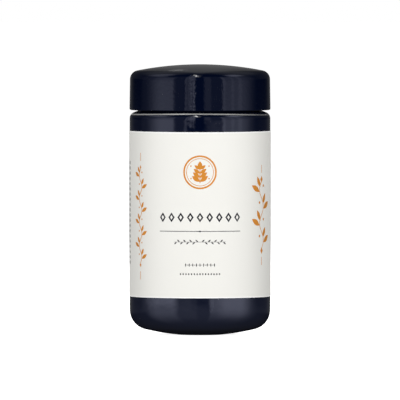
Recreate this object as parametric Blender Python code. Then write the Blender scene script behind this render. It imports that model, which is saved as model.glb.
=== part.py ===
"""A wide-mouth jar of dark violet glass with a domed screw lid, a sealing liner and a wrap label.

Metres, +Z up. The origin is the centre of the standing ring under the jar, the jar stands on Z = 0,
and the middle of the label faces -Y. The lid is drawn screwed down.
"""

import math

import bmesh
import bpy

MM = 0.001
SIDES = 64                              # facets round every turned piece
TURN = 2 * math.pi

# The outside of the glass.
JAR_RADIUS = 35.0 * MM
STANDING_RADIUS = 11.0 * MM             # outer edge of the flat ring that the jar stands on
STANDING_WIDTH = 2.6 * MM
PUSH_UP = 1.0 * MM                      # the hollow inside the standing ring
CROWN_RADIUS = 116.0 * MM               # the shallow arc between the standing ring and the heel
HEEL_RADIUS = 9.8 * MM
SHOULDER_Z = 107.63 * MM                 # top of the straight wall
SHOULDER_RADIUS = 3.2 * MM
SHOULDER_SLOPE = math.radians(21.5)
NECK_RADIUS = 28.6 * MM
NECK_FILLET = 0.8 * MM
RIM_Z = 127.83 * MM
RIM_EDGE = 1.0 * MM                     # rounding at both edges of the rim

# The bead under the thread, which the glassworks' tongs hold.
BEAD_RADIUS = 29.6 * MM
BEAD_Z = 115.33 * MM
BEAD_HALF = 1.2 * MM
BEAD_LAND = 0.6 * MM                    # half of the bead's flat crest

# The inside of the glass.
WALL = 3.1 * MM
BORE_RADIUS = 25.4 * MM
BORE_EDGE = 1.5 * MM                    # rounding where the neck opens into the jar
INNER_SHOULDER_RADIUS = 3.0 * MM
FLOOR_Z = 4.63 * MM
INNER_HEEL_RADIUS = 8.0 * MM

# The screw thread: one start, 4.2 mm a turn, right-handed.
LEAD = 4.2 * MM
CLEARANCE = 0.35 * MM                   # radial, crest to the facing wall
JAR_THREAD_TURNS = 1.25
JAR_THREAD_Z = 119.58 * MM              # middle of the ridge at its lower end
JAR_THREAD_HEIGHT = 1.25 * MM
LID_THREAD_TURNS = 1.0
LID_THREAD_DROP = 1.75 * MM             # the lid's ridge runs this far below the jar's
ROOT_HALF = 1.1 * MM                    # half widths of a ridge at its root and its crest
CREST_HALF = 0.5 * MM
THREAD_RUN_OUT = math.radians(20)
THREAD_BITE = 0.5 * MM                  # how far a ridge reaches into its wall

# The lid.
LID_BOTTOM_Z = 111.83 * MM
LID_TOP_Z = 134.48 * MM
LID_FOOT_RADIUS = 35.07 * MM            # the skirt has a slight draft
LID_HEAD_RADIUS = 34.86 * MM
LID_CORNER_RADIUS = 4.5 * MM
DOME_RADIUS = 161.9 * MM
DOME_WALL = 2.2 * MM
SKIRT_WALL = 1.65 * MM
COLLAR_WALL = 1.7 * MM
COLLAR_BOTTOM_Z = 112.83 * MM
GROOVE_TOP_Z = 126.93 * MM
LAND_Z = 129.73 * MM                     # the ring inside the lid that presses on the liner
LAND_INNER_RADIUS = 24.5 * MM
EDGE = 0.4 * MM
RIBS = 12                               # webs between the skirt and the collar
RIB_WIDTH = 1.0 * MM
RIB_BOTTOM_Z = 114.93 * MM

# The liner and the label.
REST_GAP = 0.2 * MM                     # left between pieces that touch
LINER_RADIUS = 29.6 * MM
LINER_THICKNESS = 1.5 * MM
LABEL_BOTTOM_Z = 18.87 * MM
LABEL_TOP_Z = 101.65 * MM
LABEL_GAP = 0.1 * MM
LABEL_THICKNESS = 0.15 * MM
LABEL_SEAM = 3.0 * MM                   # strip of bare glass between the label's ends, at +Y

COLLAR_BORE = NECK_RADIUS + JAR_THREAD_HEIGHT + CLEARANCE
FRONT = -math.pi / 2                    # the direction of -Y


def arc(centre, radius, start, end, steps):
    """Points on an arc in the (radius, height) plane, both ends included; angles from the +radius side."""
    angles = [start + (end - start) * i / steps for i in range(steps + 1)]
    return [(centre[0] + radius * math.cos(a), centre[1] + radius * math.sin(a)) for a in angles]


def turned(name, outline, first=0.0, angle=TURN, closed=False):
    """Spins an outline of (radius, height) points about Z. A closed outline stays clear of the axis."""
    bm = bmesh.new()
    verts = [bm.verts.new((r * math.cos(first), r * math.sin(first), z)) for r, z in outline]
    edges = [bm.edges.new(pair) for pair in zip(verts, verts[1:])]
    profile = verts + edges
    if closed:
        edges.append(bm.edges.new((verts[-1], verts[0])))
        profile = verts + edges
        if angle < TURN:
            profile = profile + [bm.faces.new(verts)]
    steps = round(SIDES * angle / TURN)
    bmesh.ops.spin(bm, geom=profile, cent=(0, 0, 0), axis=(0, 0, 1), angle=angle, steps=steps)
    bmesh.ops.remove_doubles(bm, verts=bm.verts, dist=0.001 * MM)
    bmesh.ops.recalc_face_normals(bm, faces=bm.faces)
    return finished(name, bm)


def finished(name, bm):
    """Makes the bmesh an object of that name, shaded smooth with its corners kept sharp."""
    mesh = bpy.data.meshes.new(name)
    bm.to_mesh(mesh)
    bm.free()
    mesh.shade_smooth()
    mesh.set_sharp_from_angle(angle=math.radians(35))
    obj = bpy.data.objects.new(name, mesh)
    bpy.context.scene.collection.objects.link(obj)
    return obj


def helper(obj):
    """A shape that only adds to or cuts another one."""
    obj.hide_render = True
    obj.display_type = "WIRE"
    return obj


def join_to(obj, tool):
    """Leaves a live Boolean union of the tool on the object."""
    union = obj.modifiers.new("with " + tool.name, "BOOLEAN")
    union.operation = "UNION"
    union.solver = "EXACT"
    union.object = tool


def finish_with(obj, name, colour, roughness):
    """Gives the object its own Principled material."""
    material = bpy.data.materials.new(name)
    material.use_nodes = True
    shader = material.node_tree.nodes["Principled BSDF"]
    shader.inputs["Base Color"].default_value = (*colour, 1)
    shader.inputs["Roughness"].default_value = roughness
    shader.inputs["Metallic"].default_value = 0
    obj.data.materials.append(material)


def thread_ridge(name, wall, crest, start_z, turns):
    """A helical ridge from the wall's radius to the crest's, which sinks into the wall at both ends."""
    outward = 1 if crest > wall else -1
    bite = wall - outward * THREAD_BITE
    stations = round(SIDES * turns)
    bm = bmesh.new()
    rings = []
    for i in range(stations + 1):
        angle = TURN * i / SIDES
        to_end = min(angle, TURN * turns - angle)
        share = min(1, to_end / THREAD_RUN_OUT)
        peak = wall + (crest - wall) * (1.2 * share - 0.2)
        z = start_z + LEAD * angle / TURN
        section = ((bite, -ROOT_HALF), (wall, -ROOT_HALF), (peak, -CREST_HALF),
                   (peak, CREST_HALF), (wall, ROOT_HALF), (bite, ROOT_HALF))
        rings.append([bm.verts.new((r * math.cos(angle), r * math.sin(angle), z + dz)) for r, dz in section])
    for low, high in zip(rings, rings[1:]):
        for i in range(len(low)):
            bm.faces.new((low[i - 1], low[i], high[i], high[i - 1]))
    bm.faces.new(rings[0])
    bm.faces.new(rings[-1])
    bmesh.ops.recalc_face_normals(bm, faces=bm.faces)
    return helper(finished(name, bm))


def base_and_heel():
    """From the axis under the jar, over the standing ring, the crowned base and the heel, to the wall."""
    ring_inside = STANDING_RADIUS - STANDING_WIDTH
    hollow_radius = (ring_inside**2 + PUSH_UP**2) / (2 * PUSH_UP)
    hollow_edge = math.acos(ring_inside / hollow_radius)
    hollow = arc((0, PUSH_UP - hollow_radius), hollow_radius, math.pi / 2, hollow_edge, 3)

    crown_z = math.sqrt(CROWN_RADIUS**2 - STANDING_RADIUS**2)
    heel_r = JAR_RADIUS - HEEL_RADIUS
    between = CROWN_RADIUS - HEEL_RADIUS
    heel_z = crown_z - math.sqrt(between**2 - heel_r**2)
    meet = -math.acos(heel_r / between)
    crown = arc((0, crown_z), CROWN_RADIUS, -math.acos(STANDING_RADIUS / CROWN_RADIUS), meet, 2)
    heel = arc((heel_r, heel_z), HEEL_RADIUS, meet, 0, 8)
    return hollow + crown + heel[1:]


def shoulder_and_neck():
    """From the top of the wall, over the shoulder, the bead and the rim, to the bore."""
    upright = math.pi / 2 - SHOULDER_SLOPE
    shoulder = arc((JAR_RADIUS - SHOULDER_RADIUS, SHOULDER_Z), SHOULDER_RADIUS, 0, upright, 5)
    foot_r, foot_z = shoulder[-1]
    climb = math.tan(SHOULDER_SLOPE)
    neck_z = foot_z + (foot_r - NECK_RADIUS - NECK_FILLET) * climb
    neck_root = [(NECK_RADIUS + NECK_FILLET, neck_z), (NECK_RADIUS, neck_z + NECK_FILLET)]
    bead = [(NECK_RADIUS, BEAD_Z - BEAD_HALF), (BEAD_RADIUS, BEAD_Z - BEAD_LAND),
            (BEAD_RADIUS, BEAD_Z + BEAD_LAND), (NECK_RADIUS, BEAD_Z + BEAD_HALF)]
    edge_z = RIM_Z - RIM_EDGE
    rim = arc((NECK_RADIUS - RIM_EDGE, edge_z), RIM_EDGE, 0, math.pi / 2, 3)
    rim += arc((BORE_RADIUS + RIM_EDGE, edge_z), RIM_EDGE, math.pi / 2, math.pi, 3)
    return shoulder + neck_root + bead + rim


def inside_of_glass():
    """From the foot of the bore, under the shoulder and down the wall, to the middle of the floor."""
    inner_radius = JAR_RADIUS - WALL
    upright = math.pi / 2 - SHOULDER_SLOPE
    climb = math.tan(SHOULDER_SLOPE)
    outer_foot_r = JAR_RADIUS - SHOULDER_RADIUS + SHOULDER_RADIUS * math.cos(upright)
    outer_foot_z = SHOULDER_Z + SHOULDER_RADIUS * math.sin(upright)

    def under_shoulder(r):
        return outer_foot_z - WALL / math.cos(SHOULDER_SLOPE) + (outer_foot_r - r) * climb

    edge_r = BORE_RADIUS + BORE_EDGE
    edge_end_r = edge_r - BORE_EDGE * math.sin(SHOULDER_SLOPE)
    edge_z = under_shoulder(edge_end_r) + BORE_EDGE * math.cos(SHOULDER_SLOPE)
    mouth = arc((edge_r, edge_z), BORE_EDGE, math.pi, 1.5 * math.pi - SHOULDER_SLOPE, 2)
    turn_r = inner_radius - INNER_SHOULDER_RADIUS
    turn_end_r = turn_r + INNER_SHOULDER_RADIUS * math.cos(upright)
    turn_z = under_shoulder(turn_end_r) - INNER_SHOULDER_RADIUS * math.sin(upright)
    shoulder = arc((turn_r, turn_z), INNER_SHOULDER_RADIUS, upright, 0, 3)
    heel_centre = (inner_radius - INNER_HEEL_RADIUS, FLOOR_Z + INNER_HEEL_RADIUS)
    heel = arc(heel_centre, INNER_HEEL_RADIUS, 0, -math.pi / 2, 4)
    return mouth + shoulder + heel + [(0, FLOOR_Z)]


def make_jar():
    """The glass: one blown and pressed piece, thread included."""
    jar = turned("jar", base_and_heel() + shoulder_and_neck() + inside_of_glass())
    finish_with(jar, "violet glass", (0.003, 0.005, 0.012), 0.06)
    crest = NECK_RADIUS + JAR_THREAD_HEIGHT
    join_to(jar, thread_ridge("jar thread", NECK_RADIUS, crest, JAR_THREAD_Z, JAR_THREAD_TURNS))


def lid_outline():
    """The lid from the apex, down the outside, round the groove and the collar, to the inner dome."""
    corner_r = LID_HEAD_RADIUS - LID_CORNER_RADIUS
    dome_z = LID_TOP_Z - DOME_RADIUS
    between = DOME_RADIUS - LID_CORNER_RADIUS
    corner_z = dome_z + math.sqrt(between**2 - corner_r**2)
    meet = math.acos(corner_r / between)
    dome = arc((0, dome_z), DOME_RADIUS, math.pi / 2, meet, 5)
    corner = arc((corner_r, corner_z), LID_CORNER_RADIUS, meet, 0, 6)
    foot = [(LID_FOOT_RADIUS, LID_BOTTOM_Z + EDGE), (LID_FOOT_RADIUS - EDGE, LID_BOTTOM_Z)]

    skirt_inside = LID_FOOT_RADIUS - SKIRT_WALL
    collar_outside = COLLAR_BORE + COLLAR_WALL
    groove = [(skirt_inside, LID_BOTTOM_Z), (skirt_inside, GROOVE_TOP_Z), (collar_outside, GROOVE_TOP_Z)]
    collar = [(collar_outside, COLLAR_BOTTOM_Z), (COLLAR_BORE + EDGE, COLLAR_BOTTOM_Z),
              (COLLAR_BORE, COLLAR_BOTTOM_Z + EDGE), (COLLAR_BORE, LAND_Z), (LAND_INNER_RADIUS, LAND_Z)]
    inner_radius = DOME_RADIUS - DOME_WALL
    inner_edge_r = LAND_INNER_RADIUS - EDGE
    inner_dome = arc((0, dome_z), inner_radius, math.acos(inner_edge_r / inner_radius), math.pi / 2, 3)
    return dome + corner[1:] + foot + groove + collar + inner_dome


def lid_ribs():
    """The webs in the groove, which hold the skirt to the collar."""
    bm = bmesh.new()
    inner_r = COLLAR_BORE + COLLAR_WALL / 2
    outer_r = LID_FOOT_RADIUS - SKIRT_WALL / 2
    top_z = GROOVE_TOP_Z + 0.5 * MM
    for i in range(RIBS):
        angle = TURN * (i + 0.5) / RIBS
        corners = []
        for z in (RIB_BOTTOM_Z, top_z):
            for r, side in ((inner_r, -1), (outer_r, -1), (outer_r, 1), (inner_r, 1)):
                across = side * RIB_WIDTH / 2
                x = r * math.cos(angle) - across * math.sin(angle)
                y = r * math.sin(angle) + across * math.cos(angle)
                corners.append(bm.verts.new((x, y, z)))
        for face in ((3, 2, 1, 0), (4, 5, 6, 7), (0, 1, 5, 4), (1, 2, 6, 5), (2, 3, 7, 6), (3, 0, 4, 7)):
            bm.faces.new([corners[k] for k in face])
    bmesh.ops.recalc_face_normals(bm, faces=bm.faces)
    return helper(finished("lid ribs", bm))


def make_lid():
    """The lid: one moulding, with an outer skirt and a threaded collar inside it."""
    lid = turned("lid", lid_outline())
    finish_with(lid, "black plastic", (0.004, 0.006, 0.014), 0.18)
    join_to(lid, lid_ribs())
    start_z = JAR_THREAD_Z - LID_THREAD_DROP
    crest = NECK_RADIUS + CLEARANCE
    join_to(lid, thread_ridge("lid thread", COLLAR_BORE, crest, start_z, LID_THREAD_TURNS))


def make_liner():
    """The polyethylene disc in the lid, which seals the rim."""
    low = RIM_Z + REST_GAP
    high = low + LINER_THICKNESS
    liner = turned("liner", [(0, low), (LINER_RADIUS, low), (LINER_RADIUS, high), (0, high)])
    finish_with(liner, "white polyethylene", (0.82, 0.82, 0.80), 0.5)


def make_label():
    """The paper label, wrapped round the jar with a narrow strip left bare behind."""
    inside = JAR_RADIUS + LABEL_GAP
    outside = inside + LABEL_THICKNESS
    outline = [(inside, LABEL_BOTTOM_Z), (outside, LABEL_BOTTOM_Z), (outside, LABEL_TOP_Z), (inside, LABEL_TOP_Z)]
    covered = TURN - LABEL_SEAM / JAR_RADIUS
    label = turned("label", outline, first=FRONT - covered / 2, angle=covered, closed=True)
    finish_with(label, "label paper", (0.89, 0.88, 0.83), 0.6)


def clear_scene():
    for obj in list(bpy.data.objects):
        bpy.data.objects.remove(obj)


clear_scene()
make_jar()
make_lid()
make_liner()
make_label()
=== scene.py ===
"""Looks of a wide-mouth jar of dark violet glass: glass, wrap label, liner, screw lid and studio.

Metres, +Z up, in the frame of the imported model. The middle of the label's front faces -Y.
"""
import math

import bmesh
import bpy
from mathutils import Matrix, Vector
from mathutils.geometry import delaunay_2d_cdt


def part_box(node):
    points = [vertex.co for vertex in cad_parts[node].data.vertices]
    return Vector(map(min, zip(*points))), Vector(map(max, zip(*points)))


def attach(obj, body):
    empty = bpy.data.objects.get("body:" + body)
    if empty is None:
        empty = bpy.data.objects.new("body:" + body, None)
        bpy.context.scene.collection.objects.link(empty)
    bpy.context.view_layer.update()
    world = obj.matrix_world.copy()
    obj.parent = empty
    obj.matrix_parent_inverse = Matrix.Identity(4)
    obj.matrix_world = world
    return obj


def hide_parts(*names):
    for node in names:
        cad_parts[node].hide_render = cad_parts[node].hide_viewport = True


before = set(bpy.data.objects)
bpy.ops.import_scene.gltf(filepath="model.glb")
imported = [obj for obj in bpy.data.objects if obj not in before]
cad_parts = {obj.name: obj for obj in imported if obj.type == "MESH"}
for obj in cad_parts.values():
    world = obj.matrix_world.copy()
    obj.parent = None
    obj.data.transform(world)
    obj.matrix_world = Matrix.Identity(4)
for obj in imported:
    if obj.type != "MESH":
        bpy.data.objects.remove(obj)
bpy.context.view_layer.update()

# ============================================
# The jar: violet glass so dark that it looks black, pressed at the neck and blown below it. The mould
# leaves its wall a little wavy. It stands on a narrow knurled ring in the middle of a crowned base.
MM = 0.001
wall_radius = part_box("jar")[1].x
rim_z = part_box("jar")[1].z
GLASS_SIDES = 288

STANDING_RADIUS = 11.0 * MM     # outer edge of the ring that the jar stands on
STANDING_WIDTH = 2.6 * MM
PUSH_UP = 1.0 * MM              # the hollow inside that ring
KNURL_DEPTH = 0.1 * MM
KNURLS = 36
CROWN_RADIUS = 116.0 * MM       # the shallow arc between the ring and the heel
HEEL_RADIUS = 9.8 * MM
EASE_RADIUS = 150.0 * MM        # the slow turn of the wall into the heel
EASE_TURN = 1.6                 # degrees
SHOULDER_Z = 107.63 * MM        # top of the straight wall
SHOULDER_RADIUS = 3.2 * MM
SHOULDER_SLOPE = 21.5           # degrees
NECK_RADIUS = 28.6 * MM
NECK_FILLET = 0.8 * MM
BEAD_RADIUS = 29.6 * MM         # the bead under the thread
BEAD_Z = 115.33 * MM
BEAD_HALF = 1.2 * MM
BEAD_LAND = 0.6 * MM
RIM_EDGE = 1.0 * MM
WALL = 3.1 * MM
BORE_RADIUS = 25.4 * MM
BORE_EDGE = 1.5 * MM
INNER_SHOULDER_RADIUS = 3.0 * MM
FLOOR_Z = 4.63 * MM
INNER_HEEL_RADIUS = 8.0 * MM

# A right-handed thread of one start. Its root and crest are half widths.
THREAD = {"Ridge lead": 4.2 * MM, "Ridge root": 1.1 * MM, "Ridge crest": 0.5 * MM}
THREAD_HEIGHT = 1.25 * MM
THREAD_RUN_OUT = 20 / 360       # turns
THREAD_ROW = 0.3 * MM           # height of a mesh row on a threaded wall
JAR_THREAD_Z = 119.58 * MM
JAR_THREAD_TURNS = 1.25
SAME_POINT = 0.002 * MM         # points closer than this are joined
CRISP_BEND = 35                 # degrees, from which an edge looks sharp

GLASS_COLOUR = (0.0009, 0.0027, 0.0126, 1)
GLASS_ROUGHNESS = 0.05
GLASS_IOR = 1.6
SKIN_SIZES = "Wave size, Wave height, Grain size, Grain height, Speck spacing, Speck size"
GLASS_SKIN = (4.2, 0.045, 0.9, 0.003, 7, 0.3)  # these sizes, in mm
DUST_COLOUR = (0.30, 0.30, 0.31, 1)
SMEAR_SIZE = 21 * MM
SMEAR_RANGE = (0.45, 0.75)      # the noise values at which a smear starts and is full
SMEAR_ROUGHNESS = 0.03
SHOULDER_HIGHLIGHT_COLOUR = (0.62, 0.62, 0.60, 1)  # a painted highlight: a pale line round the shoulder, just under the lid's edge
SHOULDER_HIGHLIGHT_ROUGHNESS = 0.4
SHOULDER_HIGHLIGHT_Z = 110.39 * MM             # its height at front and back
SHOULDER_HIGHLIGHT_DIP = 0.78 * MM             # and how much lower it runs at both sides
SHOULDER_HIGHLIGHT_TILT = 0.0030               # and how much it slopes down to the right
SHOULDER_HIGHLIGHT_HALF = 0.30 * MM
SHOULDER_HIGHLIGHT_BLUR = 0.10 * MM
# Where the painted highlight grows fainter: from one X to another, in wall radii, down to a share of its
# strength.
SHOULDER_HIGHLIGHT_FADES = ((0.40, 0.85, 0.30), (-0.36, -0.58, 0.60), (-0.24, -0.04, 0.74))


def arc(centre, radius, start, end, steps):
    """Points (radius, height) on an arc. The angles, in degrees, run up from the outward direction."""
    turns = [math.radians(start + (end - start) * i / steps) for i in range(steps + 1)]
    return [(centre[0] + radius * math.cos(a), centre[1] + radius * math.sin(a)) for a in turns]


def climb(radius, low, high, row):
    """Points up a straight wall, about one row apart."""
    steps = math.ceil((high - low) / row)
    return [(radius, low + (high - low) * i / steps) for i in range(steps + 1)]


def straight(low, high, hold=0.4 * MM):
    """Two points just inside the ends of a straight stretch, which keep its shading flat."""
    share = hold / math.dist(low, high)
    return [(low[0] + (high[0] - low[0]) * s, low[1] + (high[1] - low[1]) * s) for s in (share, 1 - share)]


def marked(points, ridge=0.0, knurl=0.0):
    """Points of an outline with the height of the screw ridge and the depth of the knurls there."""
    return [(r, z, ridge, knurl) for r, z in points]


def glass_outside():
    """From the axis under the jar, over the standing ring, the crowned base, the heel and the shoulder."""
    ring_inside = STANDING_RADIUS - STANDING_WIDTH
    hollow_radius = (ring_inside**2 + PUSH_UP**2) / (2 * PUSH_UP)
    hollow_edge = math.degrees(math.acos(ring_inside / hollow_radius))
    hollow = arc((0, PUSH_UP - hollow_radius), hollow_radius, 90, hollow_edge, 8)
    inset = STANDING_WIDTH / 5
    ring = [(ring_inside + inset, 0), (STANDING_RADIUS - inset, 0)]

    crown_z = math.sqrt(CROWN_RADIUS**2 - STANDING_RADIUS**2)
    crown_start = -math.degrees(math.acos(STANDING_RADIUS / CROWN_RADIUS))
    ease = math.radians(EASE_TURN)
    heel_r = wall_radius - EASE_RADIUS * (1 - math.cos(ease)) - HEEL_RADIUS * math.cos(ease)
    apart = CROWN_RADIUS - HEEL_RADIUS
    heel_z = crown_z - math.sqrt(apart**2 - heel_r**2)
    meet = -math.degrees(math.acos(heel_r / apart))
    crown = arc((0, crown_z), CROWN_RADIUS, crown_start, meet, 8)
    heel = arc((heel_r, heel_z), HEEL_RADIUS, meet, -EASE_TURN, 24)
    ease_z = heel_z + (EASE_RADIUS - HEEL_RADIUS) * math.sin(ease)
    heel += arc((wall_radius - EASE_RADIUS, ease_z), EASE_RADIUS, -EASE_TURN, 0, 4)[1:]
    shoulder = arc((wall_radius - SHOULDER_RADIUS, SHOULDER_Z), SHOULDER_RADIUS, 0, 90 - SHOULDER_SLOPE, 14)
    wall = straight(heel[-1], shoulder[0])
    return marked(hollow) + marked(ring, knurl=KNURL_DEPTH) + marked(crown + heel[1:] + wall + shoulder)


def glass_neck(foot):
    """From the shoulder's foot, over the bead and the threaded neck, to the rim and the top of the bore."""
    slope = math.tan(math.radians(SHOULDER_SLOPE))
    neck_z = foot[1] + (foot[0] - NECK_RADIUS - NECK_FILLET) * slope
    centre = (NECK_RADIUS + NECK_FILLET, neck_z + NECK_FILLET)
    root = arc(centre, NECK_FILLET, 270 - SHOULDER_SLOPE, 180, 5)
    root = straight(foot, root[0]) + root
    bead = [(NECK_RADIUS, BEAD_Z - BEAD_HALF), (BEAD_RADIUS, BEAD_Z - BEAD_LAND),
            (BEAD_RADIUS, BEAD_Z + BEAD_LAND)]
    edge_z = rim_z - RIM_EDGE
    threaded = climb(NECK_RADIUS, BEAD_Z + BEAD_HALF, edge_z, THREAD_ROW)
    rim = arc((NECK_RADIUS - RIM_EDGE, edge_z), RIM_EDGE, 0, 90, 6)
    rim += arc((BORE_RADIUS + RIM_EDGE, edge_z), RIM_EDGE, 90, 180, 6)
    return marked(root + bead) + marked(threaded, ridge=THREAD_HEIGHT) + marked(rim[1:])


def glass_inside(foot):
    """From the foot of the bore, under the shoulder and down the wall, to the middle of the floor."""
    slope = math.radians(SHOULDER_SLOPE)

    def under_shoulder(r):
        """Height of the shoulder's inner face at a distance from the axis."""
        return foot[1] - WALL / math.cos(slope) + (foot[0] - r) * math.tan(slope)

    edge_r = BORE_RADIUS + BORE_EDGE
    edge_end_r = edge_r - BORE_EDGE * math.sin(slope)
    edge_z = under_shoulder(edge_end_r) + BORE_EDGE * math.cos(slope)
    mouth = arc((edge_r, edge_z), BORE_EDGE, 180, 270 - SHOULDER_SLOPE, 6)
    turn_r = wall_radius - WALL - INNER_SHOULDER_RADIUS
    turn_end_r = turn_r + INNER_SHOULDER_RADIUS * math.sin(slope)
    turn_z = under_shoulder(turn_end_r) - INNER_SHOULDER_RADIUS * math.cos(slope)
    shoulder = arc((turn_r, turn_z), INNER_SHOULDER_RADIUS, 90 - SHOULDER_SLOPE, 0, 8)
    heel_r = wall_radius - WALL - INNER_HEEL_RADIUS
    heel = arc((heel_r, FLOOR_Z + INNER_HEEL_RADIUS), INNER_HEEL_RADIUS, 0, -90, 12)
    wall = straight(shoulder[-1], heel[0])
    return marked(mouth + shoulder + wall + heel + straight(heel[-1], (0, FLOOR_Z)) + [(0, FLOOR_Z)])


def new_group(kind, name, inputs, outputs):
    """An empty node group and what it is given. Its sockets are listed as {type: names}."""
    tree = bpy.data.node_groups.new(name, kind)
    if kind == "GeometryNodeTree":
        tree.is_modifier = True
    for way, sockets in (("INPUT", inputs), ("OUTPUT", outputs)):
        for value, names in sockets.items():
            for socket in names.split(", "):
                tree.interface.new_socket(socket, in_out=way, socket_type="NodeSocket" + value)
    return tree, tree.nodes.new("NodeGroupInput").outputs


def feed(node, inputs):
    """Sets a node's inputs, each to a value or to another node's output."""
    for key, source in inputs.items():
        if isinstance(source, bpy.types.NodeSocket):
            node.id_data.links.new(source, node.inputs[key])
        else:
            node.inputs[key].default_value = source


def add(tree, kind, inputs=None, **settings):
    """Adds a node to a tree, with its settings and inputs."""
    made = tree.nodes.new(kind)
    for name, setting in settings.items():
        setattr(made, name, setting)
    feed(made, inputs or {})
    return made


def result(tree, kind, inputs=None, **settings):
    """The first output of a new node."""
    return add(tree, kind, inputs, **settings).outputs[0]


def maths(operation, *values):
    """The output of a Math node, in the tree of the first value that is a node's output."""
    tree = next(value.id_data for value in values if isinstance(value, bpy.types.NodeSocket))
    return result(tree, "ShaderNodeMath", dict(enumerate(values)), operation=operation)


def times(first, second):
    """The product of two values, of which one at least is a node's output."""
    return maths("MULTIPLY", first, second)


def axes(vector):
    """The X, Y and Z outputs of a vector."""
    return add(vector.id_data, "ShaderNodeSeparateXYZ", {0: vector}).outputs


def joined(tree, **parts):
    """A vector made of its X, Y and Z, of which one left out is 0."""
    return result(tree, "ShaderNodeCombineXYZ", parts)


def rescaled(value, start, end, low=0.0, high=1.0, curve="LINEAR"):
    """Low up to the start, high from the end on, and in between on the way from one to the other."""
    span = {"Value": value, "From Min": start, "From Max": end, "To Min": low, "To Max": high}
    return result(value.id_data, "ShaderNodeMapRange", span, interpolation_type=curve)


def ramp(value, start, end):
    """0 at the start and 1 at the end, with a smooth rise between them."""
    return rescaled(value, start, end, curve="SMOOTHSTEP")


def between(value, low, high, blur):
    """1 where the value lies from low to high, with soft ends, and 0 outside."""
    return times(ramp(value, low - blur, low + blur), ramp(value, high + blur, high - blur))


def ended(tree, output, geometry, material):
    """The Geometry Nodes tree, ended in real faces of one material."""
    real = result(tree, "GeometryNodeRealizeInstances", {"Geometry": geometry})
    finished = result(tree, "GeometryNodeSetMaterial", {"Geometry": real, "Material": material})
    add(tree, "NodeGroupOutput", {output: finished})
    return tree


def turned_piece_tree():
    """Geometry Nodes: turns an outline about Z, and raises a screw ridge or knurls where it is marked."""
    tree, given = new_group("GeometryNodeTree", "turned piece", {
        "Geometry": "Outline", "Int": "Sides, Knurls", "Material": "Finish",
        "Float": "Ridge start, Ridge lead, Ridge turns, Ridge root, Ridge crest"}, {"Geometry": "Piece"})
    outline = given["Outline"]
    rows = add(tree, "GeometryNodeAttributeDomainSize", {"Geometry": outline}).outputs["Point Count"]
    columns = maths("ADD", given["Sides"], 1)
    grid = add(tree, "GeometryNodeMeshGrid", {"Vertices X": columns, "Vertices Y": rows})
    index = result(tree, "GeometryNodeInputIndex")
    row = maths("MODULO", index, rows)
    column = maths("FLOOR", maths("DIVIDE", index, rows))

    def at_row(field, kind="FLOAT"):
        """A field of the outline, read at this vertex's row."""
        read = {"Geometry": outline, "Value": field, "Index": row}
        return add(tree, "GeometryNodeSampleIndex", read, data_type=kind).outputs["Value"]

    def mark(name):
        """A mark of the outline, read at this vertex's row."""
        return at_row(add(tree, "GeometryNodeInputNamedAttribute", {"Name": name}).outputs["Attribute"])

    place = axes(at_row(result(tree, "GeometryNodeInputPosition"), "FLOAT_VECTOR"))
    turn = maths("DIVIDE", column, given["Sides"])

    # The ridge: how far along the screw this point is, and how far above or below the ridge's middle.
    climbed = maths("DIVIDE", maths("SUBTRACT", place["Z"], given["Ridge start"]), given["Ridge lead"])
    laps = maths("SUBTRACT", climbed, turn)
    lap = maths("ROUND", laps)
    along = maths("ADD", lap, turn)
    away = times(maths("ABSOLUTE", maths("SUBTRACT", laps, lap)), given["Ridge lead"])
    section = ramp(away, given["Ridge root"], given["Ridge crest"])
    to_end = maths("MINIMUM", along, maths("SUBTRACT", given["Ridge turns"], along))
    rise = times(mark("ridge"), times(section, ramp(to_end, 0.0, THREAD_RUN_OUT)))

    # The knurls: a wave round the ring, whose crests reach the outline and whose dips are cut away.
    angle = times(turn, math.tau)
    wave = maths("COSINE", times(angle, given["Knurls"]))
    dip = maths("MULTIPLY_ADD", wave, 0.5, 0.5)
    radius = maths("ADD", place["X"], rise)
    spot = joined(tree, X=times(radius, maths("COSINE", angle)),
                  Y=times(radius, maths("SINE", angle)),
                  Z=maths("MULTIPLY_ADD", mark("knurl"), dip, place["Z"]))

    mapped = result(tree, "GeometryNodeStoreNamedAttribute",
                    {"Geometry": grid.outputs["Mesh"], "Name": "UVMap", "Value": grid.outputs["UV Map"]},
                    data_type="FLOAT2", domain="CORNER")
    wall = result(tree, "GeometryNodeSetPosition", {"Geometry": mapped, "Position": spot})
    closed = result(tree, "GeometryNodeMergeByDistance", {"Geometry": wall, "Distance": SAME_POINT})
    bend = add(tree, "GeometryNodeInputMeshEdgeAngle").outputs["Unsigned Angle"]
    corner = maths("GREATER_THAN", bend, math.radians(CRISP_BEND))
    smooth = result(tree, "GeometryNodeSetShadeSmooth", {"Geometry": closed}, domain="FACE")
    crisp = result(tree, "GeometryNodeSetShadeSmooth",
                   {"Geometry": smooth, "Selection": corner, "Shade Smooth": False}, domain="EDGE")
    return ended(tree, "Piece", crisp, given["Finish"])


def outline_mesh(points):
    """A mesh that only holds an outline's points, in order, with their marks."""
    mesh = bpy.data.meshes.new("outline")
    mesh.from_pydata([(r, 0, z) for r, z, _, _ in points], [(i, i + 1) for i in range(len(points) - 1)], [])
    for place, name in ((2, "ridge"), (3, "knurl")):
        mesh.attributes.new(name, "FLOAT", "POINT").data.foreach_set("value", [p[place] for p in points])
    return mesh


def new_object(name, data):
    """A new object in the scene, of a mesh, a lamp or a camera."""
    thing = bpy.data.objects.new(name, data)
    bpy.context.scene.collection.objects.link(thing)
    return thing


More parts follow.
